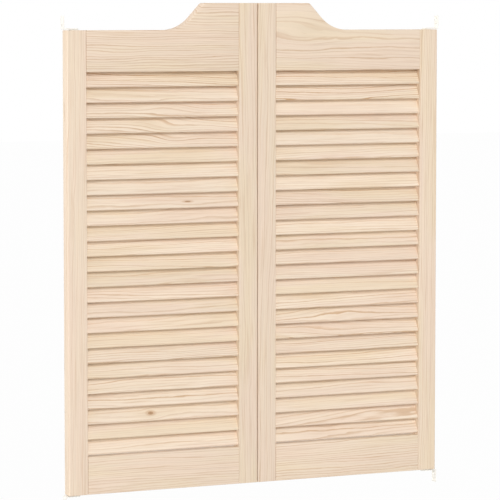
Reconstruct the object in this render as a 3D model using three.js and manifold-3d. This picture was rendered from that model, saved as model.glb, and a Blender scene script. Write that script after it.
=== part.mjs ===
// A pair of louvred cafe doors with arched tops, hung on pivot brackets between two jambs.
// Millimetres, +Z up, front towards -Y. The origin is at the bottom centre of the whole pair.
import * as THREE from "three";
import { mergeVertices } from "three/addons/utils/BufferGeometryUtils.js";
import Module from "manifold-3d";

const wasm = await Module();
wasm.setup();

// Driving dimensions of the doorway and the leaves
const OPENING_WIDTH = 914.4; // clear width between the two jambs
const SHOULDER_HEIGHT = 1008; // foot of a leaf to its low top beside the jamb
const CROWN_RISE = 59; // shoulder up to the flat crown beside the meeting edge
const CROWN_HALF_WIDTH = 127.5; // middle of the pair to the corner of the crown
const SWOOP_ANGLE = 47; // slope of the arch below that corner, in degrees
const SWOOP_RADIUS = 86; // hollow curve that brings the slope down to the shoulder
const CROWN_EASE = 10; // rounding of the crown's corner
const LEAF_THICKNESS = 28.6;
const MEETING_GAP = 1.8;
const STILE_WIDTH = 44.5;
const TOP_RAIL_HEIGHT = 90; // at the shoulder
const BOTTOM_RAIL_HEIGHT = 82.5;

// Eased edges and fits of the woodwork
const OUTER_EASE = 3; // rounding of a leaf's upright edges beside the jamb
const MEETING_EASE = 1.5; // rounding of its upright edges at the meeting gap
const INNER_EASE = 2; // rounding of a stile's edges beside the slats
const ARRIS = 1; // easing of a rail's long edges
const FIT = 0.3; // clearance round a tenon, a slat or a bush in its seat
const GLUE_LINE = 0.2; // between the end of a rail and a stile
const END_GAP = 0.5; // beyond the end of a slat, a tenon or a bush

// Mortise and tenon joints of the frame
const TENON_LENGTH = 25;
const TENON_THICKNESS = 10;
const TENON_INSET = 12; // from the rail's edge at the slats
const BORE_WALL = 4; // wood left between a pivot bush and a tenon

// Slats
const SLAT_PITCH = 33.3; // nominal, adjusted to fill the opening evenly
const SLAT_ANGLE = 27; // from upright, in degrees, the front edge low
const SLAT_THICKNESS = 6;
const SLAT_SETBACK = 3.1; // slat edges to the faces of the leaf
const SLAT_HOUSING = 10; // depth of the slots in the stiles
const LAST_SLAT_GAP = 3.5; // front edge of the lowest slat above the bottom rail
const SLAT_PAIRS = 3; // at the foot of a leaf, two slats to a mesh
const TIE_LENGTH = 4.5; // hidden block that joins paired slats inside a stile
const TIE_WIDTH = 8;

// Pivot brackets and bushes
const BRACKET_THICKNESS = 2.5;
const BRACKET_WIDTH = 16;
const BRACKET_BEND = 3; // outside radius of the bend
const PLATE_HEIGHT = 30; // jamb plate, away from the leaf, over the bend
const SCREW_HOLE = 4.5;
const SCREW_HEAD = 8.5;
const SCREW_SPACING = 14;
const PIN_DIAMETER = 8;
const PIN_LENGTH = 20;
const PIN_CHAMFER = 1;
const BUSH_WALL = 3.7;
const BUSH_DEPTH = 24;
const FLANGE_OVERHANG = 3;
const FLANGE_THICKNESS = 2;
const FLANGE_PROUD = 1; // stands out of the stile's end
const RUNNING_GAP = 0.3; // lower flange to the bracket that carries it
const LIFT_GAP = 0.5; // upper flange to its bracket
const SWING_CLEARANCE = 3.1; // turning stile to the jamb

// Fineness of the curves
const ARC_STEPS = 2;
const SWOOP_STEPS = 4;
const ROUND_SIDES = 24;
const OVERSHOOT = 1; // how far a cut runs past the face that it opens

// Sizes that follow from these
const pivotInset = STILE_WIDTH / 2;
const cornerReach =
  Math.hypot(pivotInset - OUTER_EASE, LEAF_THICKNESS / 2 - OUTER_EASE) + OUTER_EASE;
const jambX = OPENING_WIDTH / 2;
const pivotX = jambX - SWING_CLEARANCE - cornerReach;
const outerX = pivotX + pivotInset;
const meetingX = MEETING_GAP / 2;
const openingStart = meetingX + STILE_WIDTH;
const openingEnd = outerX - STILE_WIDTH;
const openingTop = SHOULDER_HEIGHT - TOP_RAIL_HEIGHT;
const crownHeight = SHOULDER_HEIGHT + CROWN_RISE;
const frontY = -LEAF_THICKNESS / 2;

const tilt = THREE.MathUtils.degToRad(SLAT_ANGLE);
const slatDepth = LEAF_THICKNESS - 2 * SLAT_SETBACK;
const slatReach = (slatDepth - SLAT_THICKNESS) / Math.sin(tilt); // between the centres of its round edges
const slatRise = slatReach * Math.cos(tilt) + SLAT_THICKNESS;
const slatField = openingTop - BOTTOM_RAIL_HEIGHT - LAST_SLAT_GAP;
const slatCount = Math.round(slatField / SLAT_PITCH);
const slatPitch = slatField / slatCount;
const slatHeight = (index) => openingTop - (index + 1) * slatPitch + slatRise / 2;

const bushBore = PIN_DIAMETER / 2 + FIT;
const bushRadius = bushBore + BUSH_WALL;
const flangeRadius = bushRadius + FLANGE_OVERHANG;
const leafBase = PLATE_HEIGHT + RUNNING_GAP + FLANGE_PROUD;
const armFoot = PLATE_HEIGHT - BRACKET_THICKNESS; // underside of a bracket's arm
const topBracketHeight =
  leafBase + SHOULDER_HEIGHT + FLANGE_PROUD + LIFT_GAP + PLATE_HEIGHT;

// Places on the pivot axis: upright at the foot of the leaf, and turned over at its shoulder
const atFoot = new THREE.Matrix4().makeTranslation(pivotX, 0, 0);
const atTop = new THREE.Matrix4().makeRotationX(Math.PI).setPosition(pivotX, 0, SHOULDER_HEIGHT);

// Finishes
const framePine = new THREE.MeshStandardMaterial({ color: 0xe9d6c0, roughness: 0.62, flatShading: true });
const slatPine = new THREE.MeshStandardMaterial({ color: 0xeddac4, roughness: 0.6, flatShading: true });
const ivorySteel = new THREE.MeshStandardMaterial({
  color: 0xf4ead9,
  roughness: 0.42,
  metalness: 0.1,
  flatShading: true,
});
const nylon = new THREE.MeshStandardMaterial({ color: 0xf3eee2, roughness: 0.5, flatShading: true });

// Closed geometry as a solid that can be joined and cut, and back again
function solidOf(geometry) {
  const bare = geometry.index ? geometry.toNonIndexed() : geometry.clone();
  bare.deleteAttribute("normal");
  bare.deleteAttribute("uv");
  const merged = mergeVertices(bare);
  return new wasm.Manifold(
    new wasm.Mesh({
      numProp: 3,
      vertProperties: merged.attributes.position.array,
      triVerts: new Uint32Array(merged.index.array),
    }),
  );
}

function geometryOf(solid) {
  const mesh = solid.getMesh();
  const geometry = new THREE.BufferGeometry();
  geometry.setAttribute("position", new THREE.BufferAttribute(mesh.vertProperties, 3));
  geometry.setIndex(new THREE.BufferAttribute(mesh.triVerts, 1));
  geometry.computeVertexNormals();
  return geometry;
}

const joined = (solids) => solids.reduce((whole, piece) => whole.add(piece));
const cut = (solid, tools) => tools.reduce((rest, tool) => rest.subtract(tool), solid);

// Where an outline's across, up and push directions point, by the axis it is pushed along
const acrossX = new THREE.Vector3(1, 0, 0);
const backY = new THREE.Vector3(0, 1, 0);
const upZ = new THREE.Vector3(0, 0, 1);
const PUSH = {
  x: new THREE.Matrix4().makeBasis(backY, upZ, acrossX),
  y: new THREE.Matrix4().makeBasis(acrossX, upZ, backY.clone().negate()),
  z: new THREE.Matrix4().makeBasis(acrossX, backY, upZ),
};

function prism(shape, axis, start, length, { ease = 0, steps = ARC_STEPS } = {}) {
  const geometry = new THREE.ExtrudeGeometry(shape, {
    depth: length - 2 * ease,
    curveSegments: steps,
    bevelEnabled: ease > 0,
    bevelThickness: ease,
    bevelSize: ease,
    bevelOffset: -ease,
    bevelSegments: 1,
  });
  geometry.translate(0, 0, ease + (axis === "y" ? -start - length : start));
  geometry.applyMatrix4(PUSH[axis]);
  return solidOf(geometry);
}

// A box between two corners
function block(low, high) {
  const size = new THREE.Vector3().subVectors(high, low);
  const geometry = new THREE.BoxGeometry(size.x, size.y, size.z);
  geometry.translate(low.x + size.x / 2, low.y + size.y / 2, low.z + size.z / 2);
  return solidOf(geometry);
}

// A profile of radius and height pairs turned round an upright axis, then laid in its place
const asMade = new THREE.Matrix4();

function turned(profile, placement = asMade) {
  const points = profile.map(([radius, height]) => new THREE.Vector2(radius, height));
  const geometry = new THREE.LatheGeometry(points, ROUND_SIDES);
  geometry.rotateX(Math.PI / 2);
  geometry.applyMatrix4(placement);
  return solidOf(geometry);
}

// Slat section: a strip with round edges, tilted so that its front edge hangs low
function slatSection(height, growth = 0) {
  const radius = SLAT_THICKNESS / 2 + growth;
  const back = (slatReach / 2) * Math.sin(tilt);
  const up = (slatReach / 2) * Math.cos(tilt);
  const axis = Math.PI / 2 - tilt;
  const shape = new THREE.Shape();
  shape.absarc(back, height + up, radius, axis - Math.PI / 2, axis + Math.PI / 2);
  shape.absarc(-back, height - up, radius, axis + Math.PI / 2, axis + (3 * Math.PI) / 2);
  return shape;
}

// Slats shared out over the meshes: single ones from the top, then the pairs
function slatGroups() {
  const pairs = Math.min(SLAT_PAIRS, Math.floor(slatCount / 2));
  const singles = slatCount - 2 * pairs;
  const alone = Array.from({ length: singles }, (_, index) => [index]);
  const paired = Array.from({ length: pairs }, (_, pair) => [singles + 2 * pair, singles + 2 * pair + 1]);
  return [...alone, ...paired];
}

const slatStart = openingStart - SLAT_HOUSING + END_GAP;
const slatEnd = openingEnd + SLAT_HOUSING - END_GAP;

// Ties between the slats of one group, at both ends and out of sight inside the stiles
function ties(group, growth = 0) {
  if (group.length < 2) return [];
  const low = slatHeight(group[group.length - 1]);
  const high = slatHeight(group[0]);
  const half = TIE_WIDTH / 2 + growth;
  return [slatStart, slatEnd - TIE_LENGTH].map((x) =>
    block(
      new THREE.Vector3(x - growth, -half, low),
      new THREE.Vector3(x + TIE_LENGTH + growth, half, high),
    ),
  );
}

function slats(group) {
  const strips = group.map((index) =>
    prism(slatSection(slatHeight(index)), "x", slatStart, slatEnd - slatStart),
  );
  return joined([...strips, ...ties(group)]);
}

// Slots for every slat, long enough to cut both stiles and the edge of the top rail
function slatSlots() {
  const start = openingStart - SLAT_HOUSING;
  const length = openingEnd + SLAT_HOUSING - start;
  return slatGroups().flatMap((group) => [
    ...group.map((index) => prism(slatSection(slatHeight(index), FIT), "x", start, length)),
    ...ties(group, FIT),
  ]);
}

// Rail tenons keep clear of the pivot bushes at the outer corners of the leaf
const tenonClear = BUSH_DEPTH + END_GAP + BORE_WALL;
const railTenons = {
  top: [openingTop + TENON_INSET, SHOULDER_HEIGHT - tenonClear],
  bottom: [tenonClear, BOTTOM_RAIL_HEIGHT - TENON_INSET],
};

function tenon([low, high], from, to, growth = 0) {
  const half = TENON_THICKNESS / 2 + growth;
  return block(
    new THREE.Vector3(from, -half, low - growth),
    new THREE.Vector3(to, half, high + growth),
  );
}

function railWithTenons(shape, heights) {
  const rail = prism(shape, "y", frontY, LEAF_THICKNESS, { ease: ARRIS, steps: SWOOP_STEPS });
  return rail.add(tenon(heights, openingStart - TENON_LENGTH, openingEnd + TENON_LENGTH));
}

// Top rail: level shoulder, hollow swoop, straight slope and flat crown
function topRail(slots) {
  const slope = THREE.MathUtils.degToRad(SWOOP_ANGLE);
  const radius = Math.min(SWOOP_RADIUS, CROWN_RISE / (1 - Math.cos(slope)));
  const hollowRise = radius * (1 - Math.cos(slope));
  const slopeRun = (CROWN_RISE - hollowRise) / Math.tan(slope);
  const swoopEnd = CROWN_HALF_WIDTH + slopeRun + radius * Math.sin(slope);
  const slopeLength = Math.hypot(slopeRun, CROWN_RISE - hollowRise);
  const ease = Math.min(CROWN_EASE, slopeLength / Math.tan(slope / 2));
  const easeRun = ease * Math.tan(slope / 2);
  const start = openingStart + GLUE_LINE;
  const end = openingEnd - GLUE_LINE;
  const shape = new THREE.Shape();
  shape.moveTo(start, openingTop);
  shape.lineTo(end, openingTop);
  shape.lineTo(end, SHOULDER_HEIGHT);
  shape.lineTo(swoopEnd, SHOULDER_HEIGHT);
  const hollowTurn = -Math.PI / 2 - slope;
  shape.absarc(swoopEnd, SHOULDER_HEIGHT + radius, radius, -Math.PI / 2, hollowTurn, true);
  const easeTurn = Math.PI / 2 - slope;
  shape.absarc(CROWN_HALF_WIDTH - easeRun, crownHeight - ease, ease, easeTurn, Math.PI / 2);
  shape.lineTo(start, crownHeight);
  shape.closePath();
  return cut(railWithTenons(shape, railTenons.top), slots);
}

function bottomRail() {
  const shape = new THREE.Shape();
  shape.moveTo(openingStart + GLUE_LINE, 0);
  shape.lineTo(openingEnd - GLUE_LINE, 0);
  shape.lineTo(openingEnd - GLUE_LINE, BOTTOM_RAIL_HEIGHT);
  shape.lineTo(openingStart + GLUE_LINE, BOTTOM_RAIL_HEIGHT);
  shape.closePath();
  return railWithTenons(shape, railTenons.bottom);
}

// Stile section with its own easing at each side
function stileSection(start, startEase, endEase) {
  const end = start + STILE_WIDTH;
  const shape = new THREE.Shape();
  const corner = (x, y, ease, turn) => shape.absarc(x, y, ease, turn, turn + Math.PI / 2);
  corner(start + startEase, frontY + startEase, startEase, Math.PI);
  corner(end - endEase, frontY + endEase, endEase, -Math.PI / 2);
  corner(end - endEase, -frontY - endEase, endEase, 0);
  corner(start + startEase, -frontY - startEase, startEase, Math.PI / 2);
  shape.closePath();
  return shape;
}

function mortises(from, to) {
  return Object.values(railTenons).map((heights) => tenon(heights, from, to, FIT));
}

function meetingStile(slots) {
  const stile = prism(stileSection(meetingX, MEETING_EASE, INNER_EASE), "z", 0, crownHeight);
  const depth = openingStart - TENON_LENGTH - END_GAP;
  return cut(stile, [...slots, ...mortises(depth, openingStart + OVERSHOOT)]);
}

// Stepped bore for a pivot bush, opening downwards as at the foot of the hinge stile
function bushSeat(placement) {
  const recess = FLANGE_THICKNESS - FLANGE_PROUD + FIT;
  return turned(
    [
      [0, -OVERSHOOT],
      [flangeRadius + FIT, -OVERSHOOT],
      [flangeRadius + FIT, recess],
      [bushRadius + FIT, recess],
      [bushRadius + FIT, BUSH_DEPTH + END_GAP],
      [0, BUSH_DEPTH + END_GAP],
    ],
    placement,
  );
}

function hingeStile(slots) {
  const stile = prism(stileSection(openingEnd, INNER_EASE, OUTER_EASE), "z", 0, SHOULDER_HEIGHT);
  const depth = openingEnd + TENON_LENGTH + END_GAP;
  const seats = [bushSeat(atFoot), bushSeat(atTop)];
  return cut(stile, [...slots, ...mortises(openingEnd - OVERSHOOT, depth), ...seats]);
}

// Flanged bush pressed into the end of a hinge stile, standing on its flange
function pivotBush() {
  return turned([
    [bushBore, -FLANGE_PROUD],
    [flangeRadius, -FLANGE_PROUD],
    [flangeRadius, FLANGE_THICKNESS - FLANGE_PROUD],
    [bushRadius, FLANGE_THICKNESS - FLANGE_PROUD],
    [bushRadius, BUSH_DEPTH],
    [bushBore, BUSH_DEPTH],
    [bushBore, -FLANGE_PROUD],
  ]);
}

// Bracket bent from strip: a plate down the jamb, an arm with a round end and a riveted pin
function bracketStrip() {
  const armEnd = pivotX - BRACKET_WIDTH / 2;
  const inner = jambX - BRACKET_THICKNESS;
  const side = new THREE.Shape();
  side.moveTo(jambX, 0);
  side.lineTo(jambX, PLATE_HEIGHT - BRACKET_BEND);
  side.absarc(jambX - BRACKET_BEND, PLATE_HEIGHT - BRACKET_BEND, BRACKET_BEND, 0, Math.PI / 2);
  side.lineTo(armEnd, PLATE_HEIGHT);
  side.lineTo(armEnd, armFoot);
  side.lineTo(inner, armFoot);
  side.lineTo(inner, 0);
  side.closePath();
  const half = BRACKET_WIDTH / 2;
  const plan = new THREE.Shape();
  plan.moveTo(jambX + OVERSHOOT, -half);
  plan.lineTo(jambX + OVERSHOOT, half);
  plan.absarc(pivotX, 0, half, Math.PI / 2, (3 * Math.PI) / 2);
  plan.closePath();
  const outline = prism(plan, "z", -OVERSHOOT, PLATE_HEIGHT + 2 * OVERSHOOT, { steps: SWOOP_STEPS });
  return prism(side, "y", -half, BRACKET_WIDTH).intersect(outline);
}

function countersunkHole(height) {
  const sink = (SCREW_HEAD - SCREW_HOLE) / 2;
  const throughPlate = new THREE.Matrix4().makeRotationY(-Math.PI / 2).setPosition(jambX, 0, height);
  return turned(
    [
      [0, -OVERSHOOT],
      [SCREW_HOLE / 2, -OVERSHOOT],
      [SCREW_HOLE / 2, BRACKET_THICKNESS - sink],
      [SCREW_HEAD / 2, BRACKET_THICKNESS],
      [SCREW_HEAD / 2, BRACKET_THICKNESS + OVERSHOOT],
      [0, BRACKET_THICKNESS + OVERSHOOT],
    ],
    throughPlate,
  );
}

function pivotBracket() {
  const radius = PIN_DIAMETER / 2;
  const root = PLATE_HEIGHT - BRACKET_THICKNESS / 2;
  const tip = PLATE_HEIGHT + PIN_LENGTH;
  const pin = turned(
    [
      [0, root],
      [radius, root],
      [radius, tip - PIN_CHAMFER],
      [radius - PIN_CHAMFER, tip],
      [0, tip],
    ],
    atFoot,
  );
  const holes = [-SCREW_SPACING / 2, SCREW_SPACING / 2].map((offset) => countersunkHole(armFoot / 2 + offset));
  return cut(bracketStrip().add(pin), holes);
}

// The pieces of one side, worked out once for the right-hand side
function sidePieces() {
  const slots = slatSlots();
  const frame = [
    ["hinge_stile", hingeStile(slots)],
    ["meeting_stile", meetingStile(slots)],
    ["top_rail", topRail(slots)],
    ["bottom_rail", bottomRail()],
  ];
  const louvre = slatGroups().map((group) => {
    const numbers = group.map((index) => String(index + 1).padStart(2, "0"));
    return ["slat_" + numbers.join("_"), slats(group)];
  });
  const shape = ([name, solid]) => [name, geometryOf(solid)];
  return {
    frame: frame.map(shape),
    louvre: louvre.map(shape),
    bush: geometryOf(pivotBush()),
    bracket: geometryOf(pivotBracket()),
  };
}

function named(name, geometry, material) {
  const mesh = new THREE.Mesh(geometry, material);
  mesh.name = name;
  return mesh;
}

// One side of the doorway: a leaf standing on its lower bracket, under its upper one
function doorSide(side, pieces) {
  const leaf = new THREE.Group();
  leaf.position.z = leafBase;
  pieces.frame.forEach(([name, geometry]) => leaf.add(named(`${side}_${name}`, geometry, framePine)));
  pieces.louvre.forEach(([name, geometry]) => leaf.add(named(`${side}_${name}`, geometry, slatPine)));
  const footBush = named(`${side}_foot_bush`, pieces.bush, nylon);
  footBush.applyMatrix4(atFoot);
  const topBush = named(`${side}_top_bush`, pieces.bush, nylon);
  topBush.applyMatrix4(atTop);
  leaf.add(footBush, topBush);

  const footBracket = named(`${side}_foot_bracket`, pieces.bracket, ivorySteel);
  const topBracket = named(`${side}_top_bracket`, pieces.bracket, ivorySteel);
  topBracket.position.z = topBracketHeight;
  topBracket.rotation.x = Math.PI;

  const whole = new THREE.Group();
  whole.add(leaf, footBracket, topBracket);
  return whole;
}

const cafeDoors = new THREE.Group();
const pieces = sidePieces();
const right = doorSide("right", pieces);
const left = doorSide("left", pieces);
left.scale.x = -1;
cafeDoors.add(left, right);

export default cafeDoors;
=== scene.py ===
"""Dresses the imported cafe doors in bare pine: eased frames, round-edged slats and pivot hinges."""
import math
import random

import bmesh
import bpy
from bpy.props import FloatProperty, FloatVectorProperty, PointerProperty
from bpy.types import Operator, Panel, PropertyGroup
from mathutils import Matrix, Vector


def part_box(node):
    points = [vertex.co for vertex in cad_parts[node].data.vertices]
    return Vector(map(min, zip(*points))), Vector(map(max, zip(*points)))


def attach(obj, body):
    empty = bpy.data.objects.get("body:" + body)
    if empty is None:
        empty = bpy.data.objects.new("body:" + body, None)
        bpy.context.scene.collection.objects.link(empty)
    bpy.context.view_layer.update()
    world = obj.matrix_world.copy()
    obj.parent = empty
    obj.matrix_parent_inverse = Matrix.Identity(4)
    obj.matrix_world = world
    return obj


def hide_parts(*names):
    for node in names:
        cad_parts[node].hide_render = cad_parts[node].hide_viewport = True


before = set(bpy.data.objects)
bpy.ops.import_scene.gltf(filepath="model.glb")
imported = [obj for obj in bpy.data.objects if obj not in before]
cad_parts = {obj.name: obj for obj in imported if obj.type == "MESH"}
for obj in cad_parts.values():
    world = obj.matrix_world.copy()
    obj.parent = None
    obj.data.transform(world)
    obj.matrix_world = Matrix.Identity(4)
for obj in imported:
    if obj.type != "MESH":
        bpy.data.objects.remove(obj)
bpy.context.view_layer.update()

bl_info = {
    "name": "Cafe Swinging Doors",
    "version": (1, 0, 0),
    "blender": (4, 5, 0),
    "location": "3D View > Sidebar > Cafe Doors",
    "description": "Models a pair of louvred cafe doors in bare pine around their packed frame",
    "category": "Object",
}

SIDES = ("left", "right")
SINGLE_SLATS = 19
SLATS = 25
GRAIN_SEED = 41
NO_KNOT = 99.0  # far enough away to leave no mark
SMALLEST_SWIRL = 0.007  # half height from which a knot lies behind the face and only bends the grain

# How often a pattern repeats in a metre, along the grain and across it
SLOW_BEND = (2.2, 15)
QUICK_BEND = (13, 80)
SHAKE = (70, 420)
FIBRES = (26, 900)
RESIN_DUCTS = (48, 1500)
TONE_DRIFT = (3.0, 24)
STREAKS = (5, 230)
VEINS = (7, 330)

# How far each bend moves a ring, in metres
SLOW_SHIFT, QUICK_SHIFT, SHAKE_SHIFT = 0.026, 0.0042, 0.0006

# Fineness of the rounded edges
LONG_EDGE_STEPS, ARRIS_STEPS, SLAT_EDGE_STEPS = 5, 3, 6
HOLLOW_STEPS, CROWN_STEPS = 20, 6
ARM_END_STEPS, BEND_STEPS = 14, 6
FULL_ROUND = 0.499  # share of the thickness that leaves no flat on a slat's edge
ARM_ROUND = 0.998  # share of the half width that rounds an arm's end
CUT_PAST = 0.001  # how far a drill runs past the face that it opens

X_AXIS, Y_AXIS, Z_AXIS = Vector((1, 0, 0)), Vector((0, 1, 0)), Vector((0, 0, 1))
MIRROR_X = Matrix.Scale(-1, 4, X_AXIS)


# Sizes and colours that a user would change

def length(name, description, default):
    """A length that can be set in the sidebar."""
    return FloatProperty(name=name, description=description, default=default, unit="LENGTH", precision=5)


def colour(name, description, default):
    """A colour that can be set in the sidebar, given as red, green and blue out of 255."""
    return FloatVectorProperty(
        name=name, description=description, subtype="COLOR", size=3, min=0, max=1,
        default=[linear(level) for level in default],
    )


def linear(level):
    """Scene-linear share of a display level from 0 to 255."""
    share = level / 255
    return share / 12.92 if share <= 0.04045 else ((share + 0.055) / 1.055) ** 2.4


class WoodSizes(PropertyGroup):
    """Sizes of the woodwork that its packed boxes don't give"""

    outer_ease: length("Outer ease", "Rounding of a leaf's upright edges beside the jamb", 0.003)
    meeting_ease: length("Meeting ease", "Rounding of its upright edges at the meeting gap", 0.0015)
    inner_ease: length("Inner ease", "Rounding of a stile's edges beside the slats", 0.002)
    arris: length("Arris", "Easing of the other long edges", 0.0009)
    glue_line: length("Glue line", "Between the end of a rail and a stile", 0.0002)
    tenon_length: length("Tenon length", "How far a rail's tenon goes into a stile", 0.025)
    tenon_thickness: length("Tenon thickness", "Thickness of a tenon", 0.010)
    tenon_inset: length("Tenon inset", "From the rail's edge at the slats to the tenon", 0.012)
    tenon_clear: length("Tenon clear", "From the end of the leaf to the tenon", 0.0285)
    fit: length("Fit", "Clearance round a tenon or a bush in its seat", 0.0003)
    slat_thickness: length("Slat thickness", "Thickness of a slat", 0.006)
    slat_housing: length("Slat housing", "Depth of the slots in the stiles", 0.010)
    slat_play: length("Slat play", "Clearance round a slat in its slot", 0.00012)
    slat_tilt: FloatProperty(
        name="Slat tilt", description="Slope of a slat from upright, the front edge low",
        default=math.radians(27), subtype="ANGLE",
    )
    crown_rise: length("Crown rise", "Shoulder up to the flat crown", 0.059)
    crown_half_width: length("Crown half width", "Middle of the pair to the crown's corner", 0.1275)
    crown_ease: length("Crown ease", "Rounding of the crown's corner", 0.010)
    swoop_radius: length("Swoop radius", "Hollow curve down to the shoulder", 0.086)
    swoop_angle: FloatProperty(
        name="Swoop angle", description="Slope of the arch below the crown's corner",
        default=math.radians(47), subtype="ANGLE",
    )


class HingeSizes(PropertyGroup):
    """Sizes of the pivot hinges that their packed boxes don't give"""

    strip: length("Strip", "Thickness of the bent steel strip", 0.0025)
    bend: length("Bend", "Outside radius of the bend", 0.003)
    plate_corner: length("Plate corner", "Rounding of the jamb plate's free corners", 0.002)
    screw_hole: length("Screw hole", "Diameter of a screw hole", 0.0045)
    screw_head: length("Screw head", "Diameter of a countersink", 0.0085)
    screw_spacing: length("Screw spacing", "Between the two screw holes", 0.014)
    pin: length("Pin", "Diameter of the pivot pin", 0.008)
    pin_length: length("Pin length", "Pin above the arm", 0.020)
    pin_chamfer: length("Pin chamfer", "Rounding of the pin's tip", 0.001)
    bush_wall: length("Bush wall", "Wall of the bush round the pin", 0.0037)
    flange: length("Flange", "Thickness of the bush's flange", 0.002)
    soft_edge: length("Soft edge", "Easing of the hinge's edges", 0.0003)


class Finishes(PropertyGroup):
    """Colours and grain of the finishes"""

    pine: colour("Pine", "Early wood of the frames", (237, 218, 196))
    # Painted light: the slats' pine is a lighter copy of the frames' pine, to make up for the shade that falls
    # between the slats
    slat_pine: colour("Slat pine", "Early wood of the slats", (243, 226, 205))
    late_wood: colour("Late wood", "Dark line of a year's ring", (203, 166, 128))
    blush: colour("Blush", "Pinker zones of the pine", (237, 215, 195))
    honey: colour("Honey", "Yellower zones of the pine", (236, 217, 190))
    knot: colour("Knot", "Heart of a small knot", (172, 133, 98))
    steel: colour("Steel coat", "Powder coat of the hinges", (249, 245, 237))
    nylon: colour("Nylon", "Natural nylon of the bushes", (243, 238, 226))
    floor: colour("Floor", "Plain studio floor", (250, 250, 250))
    ring: length("Ring", "Width of a year's ring", 0.0044)


class Studio(PropertyGroup):
    """Camera, lamps and floor"""

    camera_place: FloatVectorProperty(
        name="Camera place", description="Where the camera stands", subtype="TRANSLATION",
        unit="LENGTH", default=(-2.7321, -5.8344, 1.0752),
    )
    camera_tilt: FloatProperty(
        name="Camera tilt", description="How far the camera looks down", subtype="ANGLE",
        default=math.radians(4.653),
    )
    camera_turn: FloatProperty(
        name="Camera turn", description="How far the camera is turned to the right", subtype="ANGLE",
        default=math.radians(24.995),
    )
    lens: FloatProperty(
        name="Lens", description="Focal length in millimetres", default=209.2, unit="CAMERA",
    )
    key: FloatProperty(name="Key", description="Strength of the soft sun", default=1.45)
    key_spread: FloatProperty(
        name="Key spread", description="Softness of the sun's shadows", subtype="ANGLE",
        default=math.radians(28),
    )
    key_from: FloatVectorProperty(
        name="Key from", description="Direction that the light comes from", subtype="DIRECTION",
        default=(-0.25, -0.85, 0.46),
    )
    side: FloatProperty(
        name="Side", description="Strength of the light along the leaves from the left", default=1.2)
    side_from: FloatVectorProperty(
        name="Side from", description="Direction that the side light comes from", subtype="DIRECTION",
        default=(-0.96, 0.22, 0.16),
    )
    fill: FloatProperty(name="Fill", description="Strength of the light all round", default=0.5)
    floor_drop: length("Floor drop", "How far the doors hang above the floor", 0.6)
    floor_white: FloatProperty(
        name="Floor white", description="Share of plain white in the floor as it is seen", default=0.95)


GROUPS = {
    "door_wood": WoodSizes,
    "door_hinges": HingeSizes,
    "door_finishes": Finishes,
    "door_studio": Studio,
}


# Modelling by hand: one primitive at a time, shaped in edit mode

def put_down():
    """Leaves edit mode with nothing selected."""
    if bpy.context.object and bpy.context.object.mode != "OBJECT":
        bpy.ops.object.mode_set(mode="OBJECT")
    bpy.ops.object.select_all(action="DESELECT")


def take_up(piece):
    """Makes a piece the only one selected."""
    put_down()
    piece.select_set(True)
    bpy.context.view_layer.objects.active = piece


def settle(name):
    """Names the new primitive and moves its place into its mesh."""
    piece = bpy.context.object
    piece.name = piece.data.name = name
    bpy.ops.object.transform_apply(location=True, rotation=True, scale=True)
    return piece


def block(name, low, high, turn=(0, 0, 0)):
    """A square block between two corners, turned about its middle."""
    put_down()
    low, high = Vector(low), Vector(high)
    bpy.ops.mesh.primitive_cube_add(
        size=1, location=(low + high) / 2, rotation=turn, scale=high - low)
    return settle(name)


def rod(name, radius, start, end, taper=None, sides=48):
    """A round rod, or a cone where the far end has its own radius."""
    put_down()
    start, end = Vector(start), Vector(end)
    run = end - start
    bpy.ops.mesh.primitive_cone_add(
        vertices=sides, radius1=radius, radius2=radius if taper is None else taper,
        depth=run.length, location=(start + end) / 2,
        rotation=run.to_track_quat("Z", "Y").to_euler())
    return settle(name)


def edit(piece, mode="EDGE"):
    """Opens a piece in edit mode with nothing selected and gives its edit mesh."""
    take_up(piece)
    bpy.ops.object.mode_set(mode="EDIT")
    bpy.ops.mesh.select_mode(type=mode)
    bpy.ops.mesh.select_all(action="DESELECT")
    return bmesh.from_edit_mesh(piece.data)


def choose(piece, parts, test):
    """Selects the vertices, edges or faces that pass a test and says how many."""
    found = [part for part in parts if test(part)]
    for part in found:
        part.select_set(True)
    bmesh.update_edit_mesh(piece.data)
    return len(found)


def ends(edge):
    """The two ends of an edge."""
    return edge.verts[0].co, edge.verts[1].co


def both(edge, test):
    """Whether both ends of an edge pass a test."""
    return all(test(point) for point in ends(edge))


def near(value, wanted, slack=1e-6):
    """Whether a measure is the wanted one."""
    return abs(value - wanted) < slack


def ease_edges(piece, radius, segments, test):
    """Rounds the edges that pass a test."""
    mesh = edit(piece)
    if not choose(piece, mesh.edges, test):
        raise RuntimeError(f"{piece.name}: no edge to ease")
    bpy.ops.mesh.bevel(offset=radius, segments=segments, affect="EDGES", clamp_overlap=True)
    put_down()


def ease_sharp(piece, radius, segments=2, angle=40):
    """Rounds every edge that turns by more than an angle in degrees."""
    limit = math.radians(angle)
    ease_edges(piece, radius, segments, lambda edge: edge.calc_face_angle(0) > limit)


def shape_with(piece, tools, operation="DIFFERENCE"):
    """Cuts pieces out of a piece, or joins them to it, and clears them away."""
    for tool in tools:
        take_up(piece)
        bpy.ops.object.modifier_add(type="BOOLEAN")
        fitting = piece.modifiers[-1]
        fitting.operation, fitting.solver, fitting.object = operation, "EXACT", tool
        bpy.ops.object.modifier_apply(modifier=fitting.name)
        spare = tool.data
        bpy.data.objects.remove(tool)
        bpy.data.meshes.remove(spare)


def repeat(piece, count, step):
    """Makes a row of a piece within its own mesh."""
    take_up(piece)
    bpy.ops.object.modifier_add(type="ARRAY")
    row = piece.modifiers[-1]
    row.count, row.use_relative_offset, row.use_constant_offset = count, False, True
    row.constant_offset_displace = step
    bpy.ops.object.modifier_apply(modifier=row.name)


def smooth(piece, angle=32):
    """Smooth shading across gentle edges."""
    take_up(piece)
    bpy.ops.object.shade_smooth_by_angle(angle=math.radians(angle))


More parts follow.
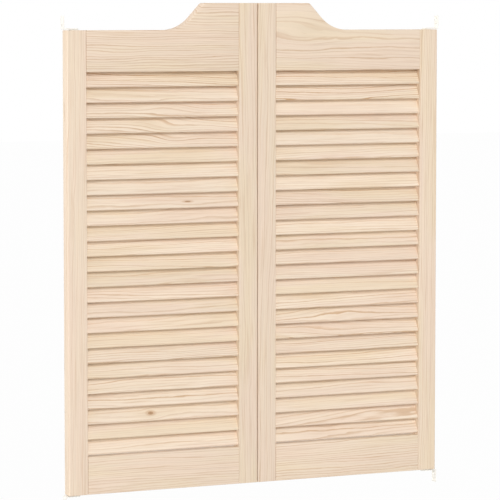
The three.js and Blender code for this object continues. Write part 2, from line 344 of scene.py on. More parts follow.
def copy_of(piece, name, placed):
    """A copy with its own mesh, moved by a matrix and turned outside out again if mirrored."""
    twin = piece.copy()
    twin.data = piece.data.copy()
    twin.name = twin.data.name = name
    bpy.context.collection.objects.link(twin)
    twin.data.transform(placed)
    if placed.determinant() < 0:
        twin.data.flip_normals()
    return twin


def handed(piece, name, side):
    """A right-hand piece's copy for one side of the doorway."""
    return copy_of(piece, f"{side}_{name}", MIRROR_X if side == "left" else Matrix())


def discard(piece):
    """Clears away a pattern that was only copied from."""
    spare = piece.data
    bpy.data.objects.remove(piece)
    bpy.data.meshes.remove(spare)


def fix(piece, body, nodes, finish):
    """Puts a finished piece on its body in place of its nodes."""
    piece.data.materials.clear()
    piece.data.materials.append(finish)
    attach(piece, body)
    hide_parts(*nodes)


# Shader expressions

class Wire:
    """A shader socket that takes part in Python expressions"""

    def __init__(self, recipe, socket):
        self.recipe, self.socket = recipe, socket

    def _with(self, operation, first, second):
        return self.recipe.math(operation, first, second)

    def __add__(self, other):
        return self._with("ADD", self, other)

    def __radd__(self, other):
        return self._with("ADD", other, self)

    def __sub__(self, other):
        return self._with("SUBTRACT", self, other)

    def __rsub__(self, other):
        return self._with("SUBTRACT", other, self)

    def __mul__(self, other):
        return self._with("MULTIPLY", self, other)

    def __rmul__(self, other):
        return self._with("MULTIPLY", other, self)

    def __truediv__(self, other):
        return self._with("DIVIDE", self, other)

    def __rtruediv__(self, other):
        return self._with("DIVIDE", other, self)

    def __pow__(self, other):
        return self._with("POWER", self, other)


class Recipe:
    """A node tree that is written as expressions"""

    def __init__(self, tree):
        self.tree = tree
        tree.nodes.clear()

    def node(self, kind, settings=None, sockets=None, output=0):
        """Adds a node: its settings first, then the values or links of its sockets."""
        made = self.tree.nodes.new(kind)
        for name, value in (settings or {}).items():
            setattr(made, name, value)
        for key, value in (sockets or {}).items():
            target = self._socket(made.inputs, key)
            if isinstance(value, Wire):
                self.tree.links.new(value.socket, target)
            else:
                target.default_value = value
        return Wire(self, self._socket(made.outputs, output)) if len(made.outputs) else None

    @staticmethod
    def _socket(sockets, key):
        if isinstance(key, int):
            return sockets[key]
        return next((s for s in sockets if s.identifier == key), None) or sockets[key]

    def math(self, operation, *values):
        return self.node("ShaderNodeMath", {"operation": operation}, dict(enumerate(values)))

    def split(self, vector):
        parts = self.node("ShaderNodeSeparateXYZ", None, {0: vector})
        return [Wire(self, parts.socket.node.outputs[i]) for i in range(3)]

    def join(self, x, y, z):
        return self.node("ShaderNodeCombineXYZ", None, {0: x, 1: y, 2: z})

    def grey(self, light):
        return self.node("ShaderNodeCombineColor", None, {0: light, 1: light, 2: light})

    def read(self, name):
        return self.node("ShaderNodeAttribute", {"attribute_name": name}, None, "Vector")

    def stretched(self, wood_place, repeats, detail=2.0, rough=0.5):
        """Noise drawn out along the grain, from -0.5 to 0.5."""
        along, across, deep = wood_place
        lengthwise, crosswise = repeats
        place = self.join(along * lengthwise, across * crosswise, deep * crosswise)
        return self.noise(place, detail, 1.0, rough) - 0.5

    def noise(self, place, detail=2.0, scale=1.0, rough=0.5):
        sockets = {"Vector": place, "Scale": scale, "Detail": detail, "Roughness": rough}
        return self.node("ShaderNodeTexNoise", None, sockets)

    def rise(self, value, low, high, bottom=0.0, top=1.0):
        """A smooth step from bottom to top as a value goes from low to high."""
        return self.node(
            "ShaderNodeMapRange", {"interpolation_type": "SMOOTHSTEP"},
            {"Value": value, "From Min": low, "From Max": high, "To Min": bottom, "To Max": top})

    def mix(self, share, first, second, blend="MIX"):
        """Two colours mixed by a share."""
        return self.node(
            "ShaderNodeMix", {"data_type": "RGBA", "blend_type": blend},
            {"Factor_Float": share, "A_Color": first, "B_Color": second}, "Result_Color")

    def bump(self, height, strength, distance):
        return self.node(
            "ShaderNodeBump", None,
            {"Strength": strength, "Distance": distance, "Height": height}, "Normal")

    def surface(self, sockets):
        """Principled surface into the output."""
        shader = self.node("ShaderNodeBsdfPrincipled", None, sockets)
        self.node("ShaderNodeOutputMaterial", None, {"Surface": shader})


def background_rays(r):
    """1 for the rays that see the background straight, in a reflection or through glass."""
    rays = r.node("ShaderNodeLightPath").socket.node.outputs
    seen = r.math("MAXIMUM", Wire(r, rays["Is Camera Ray"]), Wire(r, rays["Is Glossy Ray"]))
    return r.math("MAXIMUM", seen, Wire(r, rays["Is Transmission Ray"]))


def new_finish(name):
    """A material with an empty recipe."""
    finish = bpy.data.materials.new(name)
    finish.use_nodes = True
    return finish, Recipe(finish.node_tree)


def rgba(value):
    """A sidebar colour with full alpha."""
    return (*value, 1.0)


def pine_finish(name, early):
    """Bare sanded pine: year rings round a far pith, fibres, resin ducts and small knots."""
    looks = bpy.context.scene.door_finishes
    finish, r = new_finish(name)
    along, across, deep = r.split(r.read("grain"))
    tone, figure, warmth = r.split(r.read("board"))
    knot_along, knot_across, knot_size = r.split(r.read("knot"))

    knot_reach = knot_along * knot_along + knot_across * knot_across
    parting = r.math("EXPONENT", knot_reach * -0.09)
    across = across - knot_across * knot_size * parting * 0.8

    place = (along, across, deep)
    slow = r.stretched(place, SLOW_BEND)
    quick = r.stretched(place, QUICK_BEND)
    shake = r.stretched(place, SHAKE, 1)
    pith = r.math("SQRT", across * across + deep * deep)
    bent = slow * SLOW_SHIFT + quick * QUICK_SHIFT + shake * SHAKE_SHIFT
    years = (pith + bent) / looks.ring
    season = r.math("FRACT", years)
    line = r.rise(season, 0.52, 0.88) * r.rise(season, 0.92, 1.0, 1.0, 0.0)
    strength_noise = r.node(
        "ShaderNodeTexNoise", {"noise_dimensions": "1D"},
        {"W": years * 0.71, "Scale": 1.0, "Detail": 1.0})
    year_strength = r.rise(strength_noise, 0.36, 0.62, 0.25, 1.0)
    late = line * year_strength * figure
    streak = r.stretched(place, STREAKS, 3, 0.6)

    fibre = r.stretched(place, FIBRES)
    ducts = r.rise(r.stretched(place, RESIN_DUCTS, 1), 0.18, 0.26)
    drift = r.stretched(place, TONE_DRIFT)
    vein = r.rise(r.stretched(place, VEINS), 0.04, 0.22)

    base = r.mix(r.rise(drift, -0.08, 0.16, 0.0, 0.75), early, rgba(looks.blush))
    base = r.mix(r.rise(drift + warmth * 0.12, 0.02, -0.16, 0.0, 0.8), base, rgba(looks.honey))
    base = r.mix(late * 0.9, base, rgba(looks.late_wood))
    base = r.mix(vein * 0.3, base, rgba(looks.late_wood))
    base = r.mix(ducts * 0.16, base, rgba(looks.late_wood))
    has_heart = r.rise(knot_size, SMALLEST_SWIRL - 0.001, SMALLEST_SWIRL, 1.0, 0.0)
    halo = r.rise(knot_reach, 7.0, 1.0) * 0.5 * has_heart
    heart = r.rise(knot_reach, 1.5, 0.5) * (0.75 + 0.25 * r.math("SINE", knot_reach * 16)) * has_heart
    base = r.mix(halo, base, rgba(looks.late_wood))
    base = r.mix(heart, base, rgba(looks.knot))
    light = 1.0 + tone * 0.03 + fibre * 0.1 + streak * 0.15
    base = r.mix(1.0, base, r.grey(light), "MULTIPLY")

    relief = fibre * 0.5 + late * 0.5 - ducts * 0.4
    r.surface({
        "Base Color": base,
        "Roughness": 0.6 - late * 0.10 + fibre * 0.12,
        "Specular IOR Level": 0.22,
        "Normal": r.bump(relief, 0.35, 0.00025),
    })
    return finish


def coated_finish(name, shade, roughness, grain):
    """A smooth coat or moulding with a fine skin and a faint drift of tone."""
    finish, r = new_finish(name)
    place = r.node("ShaderNodeTexCoord", None, None, "Object")
    skin = r.noise(place, 2, grain)
    drift = r.noise(place, 2, 45)
    light = 0.985 + drift * 0.03
    base = r.mix(1.0, shade, r.grey(light), "MULTIPLY")
    r.surface({
        "Base Color": base,
        "Roughness": roughness + (skin - 0.5) * 0.12,
        "Normal": r.bump(skin, 0.15, 0.0002),
    })
    return finish


# Boards: where each one was cut from its log

class Board:
    """How a board lies in its log and how strong its figure is"""

    def __init__(
            self, pith, tone=0.0, figure=0.7, warmth=0.0,
            start=0.0, slope=0.0, closeness=1.0, knot=None):
        self.pith, self.tone, self.figure, self.warmth = pith, tone, figure, warmth
        self.start, self.slope, self.closeness, self.knot = start, slope, closeness, knot


def lay_grain(piece, along, across, board):
    """Gives each point its place in the log: along it, then across and deep from the pith."""
    deep = along.cross(across)
    points = [vertex.co for vertex in piece.data.vertices]
    middle = sum(points, Vector()) / len(points)
    grain, knot = [], []
    for point in points:
        offset = point - middle
        u, v, w = offset.dot(along), offset.dot(across), offset.dot(deep)
        grain += [
            board.start + u,
            board.pith[0] + v * board.closeness + u * board.slope,
            board.pith[1] + w * board.closeness,
        ]
        if board.knot:
            place, width, height = board.knot
            knot += [(u - place[0]) / width, (v - place[1]) / height, height]
        else:
            knot += [NO_KNOT, NO_KNOT, 0.0]
    cut = [board.tone, board.figure, board.warmth] * len(points)
    for name, values in (("grain", grain), ("knot", knot), ("board", cut)):
        layer = piece.data.attributes.new(name, "FLOAT_VECTOR", "POINT")
        layer.data.foreach_set("vector", values)


def any_board(draw, quarter, figure):
    """A board cut at random between flat (0) and quarter (1) sawn."""
    angle = math.radians(90 * quarter)
    reach = draw.uniform(0.05, 0.11)
    return Board(
        (reach * math.sin(angle) * draw.choice((-1, 1)), reach * math.cos(angle)),
        tone=draw.uniform(-1, 1),
        figure=figure * draw.uniform(0.8, 1.2),
        warmth=draw.uniform(-1, 1),
        start=draw.uniform(0, 40),
        slope=draw.uniform(-0.02, 0.02),
        closeness=draw.uniform(0.75, 1.15))


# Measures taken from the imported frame

def leaf_measures():
    """Where the right-hand leaf's pieces meet."""
    wood = bpy.context.scene.door_wood
    hinge_low, hinge_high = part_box("right_hinge_stile")
    meet_low, meet_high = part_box("right_meeting_stile")
    slat_low, slat_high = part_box("right_slat_01")
    next_low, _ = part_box("right_slat_02")
    foot_low, foot_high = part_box("right_bottom_rail")
    top_low, top_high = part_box("right_top_rail")
    return {
        "hinge": (hinge_low, hinge_high),
        "meeting": (meet_low, meet_high),
        "opening": (meet_high.x, hinge_low.x),
        "front": hinge_low.y,
        "back": hinge_high.y,
        "foot": hinge_low.z,
        "foot_rail_top": foot_high.z,
        "rail_foot": top_low.z,
        "shoulder": hinge_high.z,
        "crown": meet_high.z,
        "slat_ends": (slat_low.x, slat_high.x),
        "slat_height": (slat_low.z + slat_high.z) / 2,
        "slat_pitch": slat_low.z - next_low.z,
        "slat_depth": slat_high.y - slat_low.y,
        "tenon_heights": {
            "top": (top_low.z + wood.tenon_inset, hinge_high.z - wood.tenon_clear),
            "foot": (hinge_low.z + wood.tenon_clear, foot_high.z - wood.tenon_inset),
        },
    }


def slat_strip(name, at, growth, start, end):
    """A tilted strip with full round edges, or its slot where it is grown a little."""
    wood = bpy.context.scene.door_wood
    thickness = wood.slat_thickness + 2 * growth
    reach = (at["slat_depth"] - wood.slat_thickness) / math.sin(wood.slat_tilt)
    width = reach + thickness
    half = Vector((0, thickness / 2, width / 2))
    middle = Vector(((start + end) / 2, 0, at["slat_height"]))
    run = Vector(((end - start) / 2, 0, 0))
    strip = block(name, middle - half - run, middle + half + run, (-wood.slat_tilt, 0, 0))
    ease_edges(
        strip, thickness * FULL_ROUND, SLAT_EDGE_STEPS,
        lambda edge: near(ends(edge)[0].y, ends(edge)[1].y)
        and near(ends(edge)[0].z, ends(edge)[1].z))
    return strip


def slat_slots(at, count=SLATS):
    """A row of slots for the slats, long enough for both stiles."""
    wood = bpy.context.scene.door_wood
    start, end = at["opening"]
    slots = slat_strip("slots", at, wood.slat_play, start - wood.slat_housing, end + wood.slat_housing)
    repeat(slots, count, (0, 0, -at["slat_pitch"]))
    return slots


def tenon_block(at, which, start, end, growth=0.0):
    """A tenon, or its mortise where it is grown by the fit."""
    wood = bpy.context.scene.door_wood
    low, high = at["tenon_heights"][which]
    half = wood.tenon_thickness / 2 + growth
    return block("tenon", (start, -half, low - growth), (end, half, high + growth))


# The pieces

class CAFEDOORS_OT_stiles(Operator):
    """Models the uprights of both leaves, with their slots, mortises and bush seats"""

    bl_idname = "cafedoors.stiles"
    bl_label = "Stiles"

    def execute(self, context):
        wood, at = context.scene.door_wood, leaf_measures()
        finish = bpy.data.materials["bare_pine_frame"]
        draw = random.Random(GRAIN_SEED)
        for kind in ("hinge", "meeting"):
            pattern = self.upright(kind, wood, at)
            for side in SIDES:
                stile = handed(pattern, f"{kind}_upright", side)
                board = any_board(draw, draw.uniform(0.72, 0.95), 0.4)
                board.closeness *= 0.9
                lay_grain(stile, Z_AXIS, X_AXIS, board)
                fix(stile, f"{side}_leaf", [f"{side}_{kind}_stile"], finish)
            discard(pattern)
        return {"FINISHED"}

    @staticmethod
    def upright(kind, wood, at):
        low, high = at[kind]
        inner, outer = (low.x, high.x) if kind == "hinge" else (high.x, low.x)
        outer_ease = wood.outer_ease if kind == "hinge" else wood.meeting_ease
        stile = block(f"{kind}_upright", low, high)
        for x, radius in ((outer, outer_ease), (inner, wood.inner_ease)):
            ease_edges(
                stile, radius, LONG_EDGE_STEPS,
                lambda edge: both(edge, lambda p: near(p.x, x))
                and not near(ends(edge)[0].z, ends(edge)[1].z))
        for z in (low.z, high.z):
            ease_edges(
                stile, wood.arris, ARRIS_STEPS, lambda edge: both(edge, lambda p: near(p.z, z)))
        way = 1 if outer > inner else -1
        mouth, bottom = inner - way * wood.arris, inner + way * (wood.tenon_length + wood.fit)
        mortises = [
            tenon_block(at, which, min(mouth, bottom), max(mouth, bottom), wood.fit)
            for which in ("top", "foot")
        ]
        shape_with(stile, [slat_slots(at), *mortises])
        if kind == "hinge":
            shape_with(stile, CAFEDOORS_OT_stiles.bush_seats(wood, at))
        smooth(stile)
        return stile

    @staticmethod
    def bush_seats(wood, at):
        hinges = bpy.context.scene.door_hinges
        bush_low, bush_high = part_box("right_foot_bush")
        middle = (bush_low + bush_high) / 2
        flange = (bush_high.x - bush_low.x) / 2 + wood.fit
        barrel = hinges.pin / 2 + wood.fit + hinges.bush_wall + wood.fit
        recess = bush_low.z + hinges.flange + wood.fit - at["foot"]
        depth = bush_high.z + wood.fit - at["foot"]
        seats = []
        for end, way in ((at["foot"], 1), (at["shoulder"], -1)):
            mouth = Vector((middle.x, middle.y, end - way * wood.arris))
            seats.append(rod("seat", flange, mouth, Vector((middle.x, middle.y, end + way * recess))))
            seats.append(rod("seat", barrel, mouth, Vector((middle.x, middle.y, end + way * depth))))
        return seats


class CAFEDOORS_OT_rails(Operator):
    """Models the arched rails and the foot rails of both leaves"""

    bl_idname = "cafedoors.rails"
    bl_label = "Rails"

    def execute(self, context):
        wood, at = context.scene.door_wood, leaf_measures()
        finish = bpy.data.materials["bare_pine_frame"]
        cuts = {
            ("top", "left"): Board((0.13, 0.05), 0.0, 0.8, 0.2, 3.1, 0.004, 0.95),
            ("top", "right"): Board(
                (-0.055, 0.05), 0.2, 0.75, 0.0, 19.1, 0.045, 0.9, ((-0.09, 0.04), 0.03, 0.012)),
            ("bottom", "left"): Board((0.12, 0.07), 0.1, 0.6, 0.0, 9.4, 0.01, 1.1),
            ("bottom", "right"): Board((-0.10, 0.06), 0.1, 0.75, 0.3, 26.2, -0.008, 1.0),
        }
        for kind, pattern in (("top", self.arched(wood, at)), ("bottom", self.foot(wood, at))):
            for side in SIDES:
                rail = handed(pattern, "arched_rail" if kind == "top" else "foot_rail", side)
                lay_grain(rail, X_AXIS, Z_AXIS, cuts[kind, side])
                fix(rail, f"{side}_leaf", [f"{side}_{kind}_rail"], finish)
            discard(pattern)
        return {"FINISHED"}

    @staticmethod
    def arch(wood, at, start, end):
        """Places along the top of the rail, from the jamb side to the meeting side."""
        slope, radius = wood.swoop_angle, wood.swoop_radius
        hollow = radius * (1 - math.cos(slope))
        slope_run = (wood.crown_rise - hollow) / math.tan(slope)
        foot = wood.crown_half_width + slope_run + radius * math.sin(slope)
        line = [(end, at["shoulder"])]
        for step in range(HOLLOW_STEPS + 1):
            turn = slope * step / HOLLOW_STEPS
            line.append((
                foot - radius * math.sin(turn),
                at["shoulder"] + radius * (1 - math.cos(turn))))
        ease_run = wood.crown_ease * math.tan(slope / 2)
        for step in range(CROWN_STEPS + 1):
            turn = slope * (1 - step / CROWN_STEPS)
            line.append((
                wood.crown_half_width - ease_run + wood.crown_ease * math.sin(turn),
                at["crown"] - wood.crown_ease * (1 - math.cos(turn))))
        line.append((start, at["crown"]))
        return line

    @classmethod
    def arched(cls, wood, at):
        start, end = at["opening"][0] + wood.glue_line, at["opening"][1] - wood.glue_line
        line = cls.arch(wood, at, start, end)
        put_down()
        (first_x, first_z), (next_x, _) = line[0], line[1]
        bpy.ops.mesh.primitive_plane_add(
            size=1, location=((first_x + next_x) / 2, at["front"], (at["rail_foot"] + first_z) / 2),
            rotation=(math.pi / 2, 0, 0))
        bpy.context.object.scale = (first_x - next_x, first_z - at["rail_foot"], 1)
        rail = settle("arched_rail")
        edit(rail)
        edge_x, top_z = next_x, first_z
        for x, z in line[2:]:
            bpy.ops.mesh.select_all(action="DESELECT")
            mesh = bmesh.from_edit_mesh(rail.data)
            choose(rail, mesh.edges, lambda edge: both(edge, lambda p: near(p.x, edge_x)))
            bpy.ops.mesh.extrude_region_move(TRANSFORM_OT_translate={"value": (x - edge_x, 0, 0)})
            bpy.ops.mesh.select_all(action="DESELECT")
            mesh = bmesh.from_edit_mesh(rail.data)
            choose(
                rail, mesh.verts,
                lambda vert: near(vert.co.x, x) and vert.co.z > at["rail_foot"] + wood.arris)
            bpy.ops.transform.translate(value=(0, 0, z - top_z))
            edge_x, top_z = x, z
        bpy.ops.mesh.select_all(action="SELECT")
        bpy.ops.mesh.extrude_region_move(
            TRANSFORM_OT_translate={"value": (0, at["back"] - at["front"], 0)})
        bpy.ops.mesh.select_all(action="SELECT")
        bpy.ops.mesh.normals_make_consistent(inside=False)
        ease_sharp(rail, wood.arris, ARRIS_STEPS)
        cls.add_tenons(rail, wood, at, "top")
        shape_with(rail, [slat_slots(at, 1)])
        smooth(rail)
        return rail

    @classmethod
    def foot(cls, wood, at):
        start, end = at["opening"][0] + wood.glue_line, at["opening"][1] - wood.glue_line
        rail = block(
            "foot_rail", (start, at["front"], at["foot"]), (end, at["back"], at["foot_rail_top"]))
        ease_sharp(rail, wood.arris, ARRIS_STEPS)
        cls.add_tenons(rail, wood, at, "foot")
        smooth(rail)
        return rail

    @staticmethod
    def add_tenons(rail, wood, at, which):
        start, end = at["opening"]
        lap = wood.tenon_length
        shape_with(rail, [
            tenon_block(at, which, start - lap, start + lap),
            tenon_block(at, which, end - lap, end + lap),
        ], "UNION")


class CAFEDOORS_OT_slats(Operator):
    """Models the fifty slats, each cut from its own board"""

    bl_idname = "cafedoors.slats"
    bl_label = "Slats"

    def execute(self, context):
        at = leaf_measures()
        wood = context.scene.door_wood
        # The slats' finish holds the lightened pine, painted light that makes up for the shade between them
        finish = bpy.data.materials["bare_pine_slat_lightened"]
        draw = random.Random(GRAIN_SEED + 1)
        across = Vector((0, math.sin(wood.slat_tilt), math.cos(wood.slat_tilt)))
        pattern = slat_strip("slat", at, 0.0, *at["slat_ends"])
        smooth(pattern)
        special = self.chosen_boards()
        for side in SIDES:
            for number in range(1, SLATS + 1):
                hand = MIRROR_X if side == "left" else Matrix()
                drop = Matrix.Translation((0, 0, -(number - 1) * at["slat_pitch"]))
                slat = copy_of(pattern, f"{side}_louvre_{number:02d}", drop @ hand)
                board = any_board(draw, draw.uniform(0.3, 1.0), draw.uniform(0.4, 0.85))
                board = special.get((side, number), board)
                lay_grain(slat, X_AXIS, across, board)
                fix(slat, f"{side}_leaf", [f"{side}_{self.node_of(number)}"], finish)
        discard(pattern)
        return {"FINISHED"}

    @staticmethod
    def node_of(number):
        """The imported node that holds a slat: its own, or the pair's at the foot."""
        if number <= SINGLE_SLATS:
            return f"slat_{number:02d}"
        first = number - (number - SINGLE_SLATS - 1) % 2
        return f"slat_{first:02d}_{first + 1:02d}"

    @staticmethod
    def chosen_boards():
        """Boards picked for their figure, by side and number from the top."""
        return {
            ("left", 1): Board((0.085, 0.03), 0.2, 1.5, 0.3, 4.0, 0.03, 0.9),
            ("left", 2): Board((0.05, 0.05), 0.0, 0.8, 0.1, 11.0, 0.05, 0.9),
            ("left", 3): Board(
                (0.06, 0.04), 0.1, 0.9, 0.4, 21.0, 0.03, 1.0, ((0.01, -0.012), 0.02, 0.009)),
            ("left", 4): Board(
                (0.06, 0.04), 0.0, 1.0, 0.5, 21.3, 0.05, 1.0, ((0.01, 0.002), 0.02, 0.009)),
            ("left", 5): Board(
                (0.06, 0.04), 0.0, 1.0, 0.3, 25.0, 0.07, 1.0, ((0.02, 0.01), 0.02, 0.009)),
            ("right", 17): Board(
                (-0.06, 0.04), 0.1, 0.9, 0.1, 29.0, -0.03, 1.0, ((0.0, -0.008), 0.035, 0.009)),
            ("right", 18): Board(
                (-0.06, 0.04), 0.1, 0.9, 0.1, 37.0, 0.03, 1.0, ((-0.03, 0.004), 0.03, 0.009)),
            ("right", 1): Board((-0.09, 0.02), 0.3, 1.5, 0.2, 6.0, 0.005, 0.9),
            ("right", 2): Board((-0.07, 0.04), 0.2, 1.35, 0.0, 14.0, -0.02, 0.9),
            ("left", 9): Board((0.05, 0.06), 0.0, 0.7, 0.4, 12.0, 0.02, 1.0, ((0.06, -0.007), 0.007, 0.0016)),
            ("left", 23): Board((0.035, 0.06), 0.1, 0.7, 0.2, 31.0, 0.0, 1.0, ((-0.029, -0.004), 0.006, 0.0035)),
            ("right", 24): Board((0.03, 0.055), 0.1, 0.8, 0.3, 33.0, -0.05, 1.0),
            ("right", 25): Board((0.022, 0.05), 0.1, 0.85, 0.5, 8.6, 0.03, 1.1),
        }


class CAFEDOORS_OT_brackets(Operator):
    """Models the four pivot brackets: a bent strip with countersunk holes and a riveted pin"""

    bl_idname = "cafedoors.brackets"
    bl_label = "Pivot brackets"

    def execute(self, context):
        hinges = context.scene.door_hinges
        finish = bpy.data.materials["ivory_coat"]
        pattern = self.bracket(hinges)
        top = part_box("right_foot_bracket")[0].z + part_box("right_top_bracket")[1].z
        turned_over = Matrix.Translation((0, 0, top)) @ Matrix.Rotation(math.pi, 4, "X")
        for place, matrix in (("foot", Matrix()), ("top", turned_over)):
            for side in SIDES:
                hand = MIRROR_X if side == "left" else Matrix()
                piece = copy_of(pattern, f"{side}_{place}_hinge_plate", hand @ matrix)
                fix(piece, "jamb_brackets", [f"{side}_{place}_bracket"], finish)
        discard(pattern)
        return {"FINISHED"}

    @staticmethod
    def bracket(hinges):
        low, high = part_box("right_foot_bracket")
        bush_low, bush_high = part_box("right_foot_bush")
        pivot = (bush_low.x + bush_high.x) / 2
        inner, half = high.x - hinges.strip, high.y
        arm_top = high.z - hinges.pin_length
        arm_foot = arm_top - hinges.strip
        piece = block("hinge_plate", (low.x, low.y, arm_foot), (high.x, high.y, arm_top))
        edit(piece)
        bpy.ops.mesh.select_all(action="SELECT")
        bpy.ops.mesh.bisect(plane_co=(inner, 0, 0), plane_no=(1, 0, 0))
        mesh = edit(piece, "FACE")
        choose(
            piece, mesh.faces,
            lambda face: face.normal.z < -0.9 and face.calc_center_median().x > inner)
        bpy.ops.mesh.extrude_region_move(
            TRANSFORM_OT_translate={"value": (0, 0, low.z - arm_foot)})
        put_down()

        def runs_along(axis):
            return lambda edge: all(
                near(ends(edge)[0][other], ends(edge)[1][other]) for other in range(3) if other != axis)

        ease_edges(
            piece, half * ARM_ROUND, ARM_END_STEPS,
            lambda edge: runs_along(2)(edge) and near(ends(edge)[0].x, low.x))
        ease_edges(
            piece, hinges.plate_corner, LONG_EDGE_STEPS,
            lambda edge: runs_along(0)(edge) and near(ends(edge)[0].z, low.z))
        ease_edges(
            piece, hinges.bend, BEND_STEPS,
            lambda edge: runs_along(1)(edge)
            and near(ends(edge)[0].x, high.x) and near(ends(edge)[0].z, arm_top))
        ease_edges(
            piece, hinges.bend - hinges.strip, ARRIS_STEPS,
            lambda edge: runs_along(1)(edge)
            and near(ends(edge)[0].x, inner) and near(ends(edge)[0].z, arm_foot))
        ease_sharp(piece, hinges.soft_edge, 2)

        pin = rod("pin", hinges.pin / 2, (pivot, 0, arm_top - hinges.strip / 2), (pivot, 0, high.z))
        ease_edges(
            pin, hinges.pin_chamfer, ARRIS_STEPS,
            lambda edge: both(edge, lambda p: near(p.z, high.z)))
        shape_with(piece, [pin], "UNION")
        put_down()
        bpy.ops.mesh.primitive_torus_add(
            location=(pivot, 0, arm_foot), major_radius=hinges.pin / 2, minor_radius=hinges.soft_edge,
            major_segments=48, minor_segments=8)
        groove = settle("rivet_groove")
        holes = []
        sink = (hinges.screw_head - hinges.screw_hole) / 2
        middle = (low.z + arm_foot) / 2
        for offset in (-hinges.screw_spacing / 2, hinges.screw_spacing / 2):
            height = middle + offset
            holes.append(rod(
                "hole", hinges.screw_hole / 2,
                (inner - CUT_PAST, 0, height), (high.x + CUT_PAST, 0, height)))
            holes.append(rod(
                "countersink", hinges.screw_head / 2 + CUT_PAST / 2,
                (inner - CUT_PAST / 2, 0, height), (inner + sink, 0, height), hinges.screw_hole / 2))
        shape_with(piece, [groove, *holes])
        smooth(piece, 35)
        return piece


class CAFEDOORS_OT_bushes(Operator):
    """Models the four flanged nylon bushes"""

    bl_idname = "cafedoors.bushes"
    bl_label = "Bushes"

    def execute(self, context):
        hinges, wood = context.scene.door_hinges, context.scene.door_wood
        finish = bpy.data.materials["natural_nylon"]
        pattern = self.bush(hinges, wood)
        foot_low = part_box("right_foot_bush")[0].z
        top_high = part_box("right_top_bush")[1].z
        turned_over = Matrix.Translation((0, 0, foot_low + top_high)) @ Matrix.Rotation(math.pi, 4, "X")
        for place, matrix in (("foot", Matrix()), ("top", turned_over)):
            for side in SIDES:
                hand = MIRROR_X if side == "left" else Matrix()
                piece = copy_of(pattern, f"{side}_{place}_socket", hand @ matrix)
                fix(piece, f"{side}_leaf", [f"{side}_{place}_bush"], finish)
        discard(pattern)
        return {"FINISHED"}

    @staticmethod
    def bush(hinges, wood):
        low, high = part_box("right_foot_bush")
        x = (low.x + high.x) / 2
        flange, bore = (high.x - low.x) / 2, hinges.pin / 2 + wood.fit
        piece = rod("socket", flange, (x, 0, low.z), (x, 0, low.z + hinges.flange))
        mesh = edit(piece, "FACE")
        choose(piece, mesh.faces, lambda face: face.normal.z > 0.9)
        bpy.ops.mesh.inset(thickness=flange - bore - hinges.bush_wall, depth=0)
        bpy.ops.mesh.extrude_region_move(
            TRANSFORM_OT_translate={"value": (0, 0, high.z - low.z - hinges.flange)})
        put_down()
        shape_with(piece, [rod("bore", bore, (x, 0, low.z - CUT_PAST), (x, 0, high.z + CUT_PAST))])
        ease_sharp(piece, hinges.soft_edge, 2, 60)
        smooth(piece, 35)
        return piece


class CAFEDOORS_OT_finishes(Operator):
    """Mixes the finishes of the wood, the steel and the nylon"""

    bl_idname = "cafedoors.finishes"
    bl_label = "Finishes"

    def execute(self, context):
        looks = context.scene.door_finishes
        pine_finish("bare_pine_frame", rgba(looks.pine))
        # The slats get a lighter copy of the pine, painted light against the shade between them
        pine_finish("bare_pine_slat_lightened", rgba(looks.slat_pine))
        coated_finish("ivory_coat", rgba(looks.steel), 0.42, 1400)
        coated_finish("natural_nylon", rgba(looks.nylon), 0.5, 900)
        return {"FINISHED"}


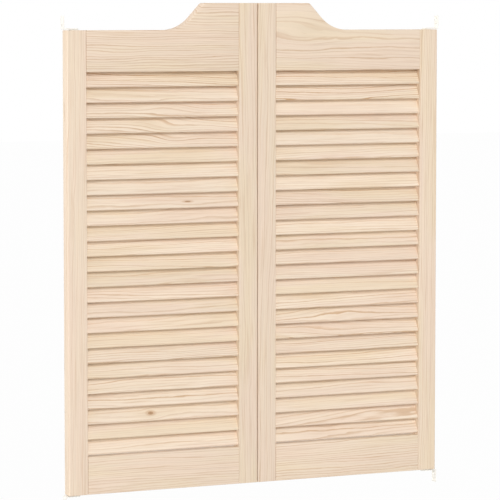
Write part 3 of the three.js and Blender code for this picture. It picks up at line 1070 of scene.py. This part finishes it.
class CAFEDOORS_OT_stage(Operator):
    """Sets the floor, the lamps, the white surround and the camera"""

    bl_idname = "cafedoors.stage"
    bl_label = "Stage"

    def execute(self, context):
        studio = context.scene.door_studio
        context.scene.view_settings.view_transform = "Standard"
        self.floor(context, studio)
        self.surround(context, studio)
        put_down()
        self.lamp("soft_key", studio.key_from, studio.key, studio.key_spread)
        self.lamp("soft_side", studio.side_from, studio.side, studio.key_spread)
        bpy.ops.object.camera_add(
            location=studio.camera_place,
            rotation=(math.pi / 2 - studio.camera_tilt, 0, -studio.camera_turn))
        camera = context.object
        camera.data.lens = studio.lens
        context.scene.camera = camera
        return {"FINISHED"}

    @staticmethod
    def lamp(name, source, strength, spread):
        towards = Vector(source).normalized()
        bpy.ops.object.light_add(type="SUN", rotation=towards.to_track_quat("Z", "Y").to_euler())
        light = bpy.context.object
        light.name = name
        light.data.energy, light.data.angle = strength, spread

    @staticmethod
    def floor(context, studio):
        put_down()
        bpy.ops.mesh.primitive_plane_add(size=60, location=(0, 0, -studio.floor_drop))
        floor = settle("floor")
        finish, r = new_finish("pale_floor")
        seen = background_rays(r)
        matt = r.node("ShaderNodeBsdfDiffuse", None, {"Color": rgba(context.scene.door_finishes.floor)})
        white = r.node("ShaderNodeEmission", None, {"Strength": 1.0})
        shader = r.node(
            "ShaderNodeMixShader", None, {0: seen * studio.floor_white, 1: matt, 2: white})
        r.node("ShaderNodeOutputMaterial", None, {"Surface": shader})
        floor.data.materials.append(finish)

    @staticmethod
    def surround(context, studio):
        world = bpy.data.worlds.new("white_surround")
        world.use_nodes = True
        context.scene.world = world
        r = Recipe(world.node_tree)
        seen = background_rays(r)
        light = r.node("ShaderNodeBackground", None, {
            "Color": (1, 1, 1, 1), "Strength": studio.fill + seen * (1 - studio.fill)})
        r.node("ShaderNodeOutputWorld", None, {"Surface": light})


STEPS = (
    CAFEDOORS_OT_finishes,
    CAFEDOORS_OT_stiles,
    CAFEDOORS_OT_rails,
    CAFEDOORS_OT_slats,
    CAFEDOORS_OT_brackets,
    CAFEDOORS_OT_bushes,
    CAFEDOORS_OT_stage,
)


class CAFEDOORS_PT_sidebar(Panel):
    """Lists the steps that dress the doors"""

    bl_idname = "CAFEDOORS_PT_sidebar"
    bl_label = "Cafe Doors"
    bl_space_type = "VIEW_3D"
    bl_region_type = "UI"
    bl_category = "Cafe Doors"

    def draw(self, context):
        for step in STEPS:
            self.layout.operator(step.bl_idname)
        for name, group in GROUPS.items():
            settings = getattr(context.scene, name)
            for setting in group.__annotations__:
                self.layout.prop(settings, setting)


def register():
    """Registers the groups, the steps and the panel."""
    for name, group in GROUPS.items():
        bpy.utils.register_class(group)
        setattr(bpy.types.Scene, name, PointerProperty(type=group))
    for step in (*STEPS, CAFEDOORS_PT_sidebar):
        bpy.utils.register_class(step)


def unregister():
    """Removes what register added."""
    for step in reversed((*STEPS, CAFEDOORS_PT_sidebar)):
        bpy.utils.unregister_class(step)
    for name, group in reversed(GROUPS.items()):
        delattr(bpy.types.Scene, name)
        bpy.utils.unregister_class(group)


def main():
    """Dresses the frame step by step."""
    register()
    bpy.ops.cafedoors.finishes()
    bpy.ops.cafedoors.stiles()
    bpy.ops.cafedoors.rails()
    bpy.ops.cafedoors.slats()
    bpy.ops.cafedoors.brackets()
    bpy.ops.cafedoors.bushes()
    bpy.ops.cafedoors.stage()


if __name__ == "__main__":
    main()
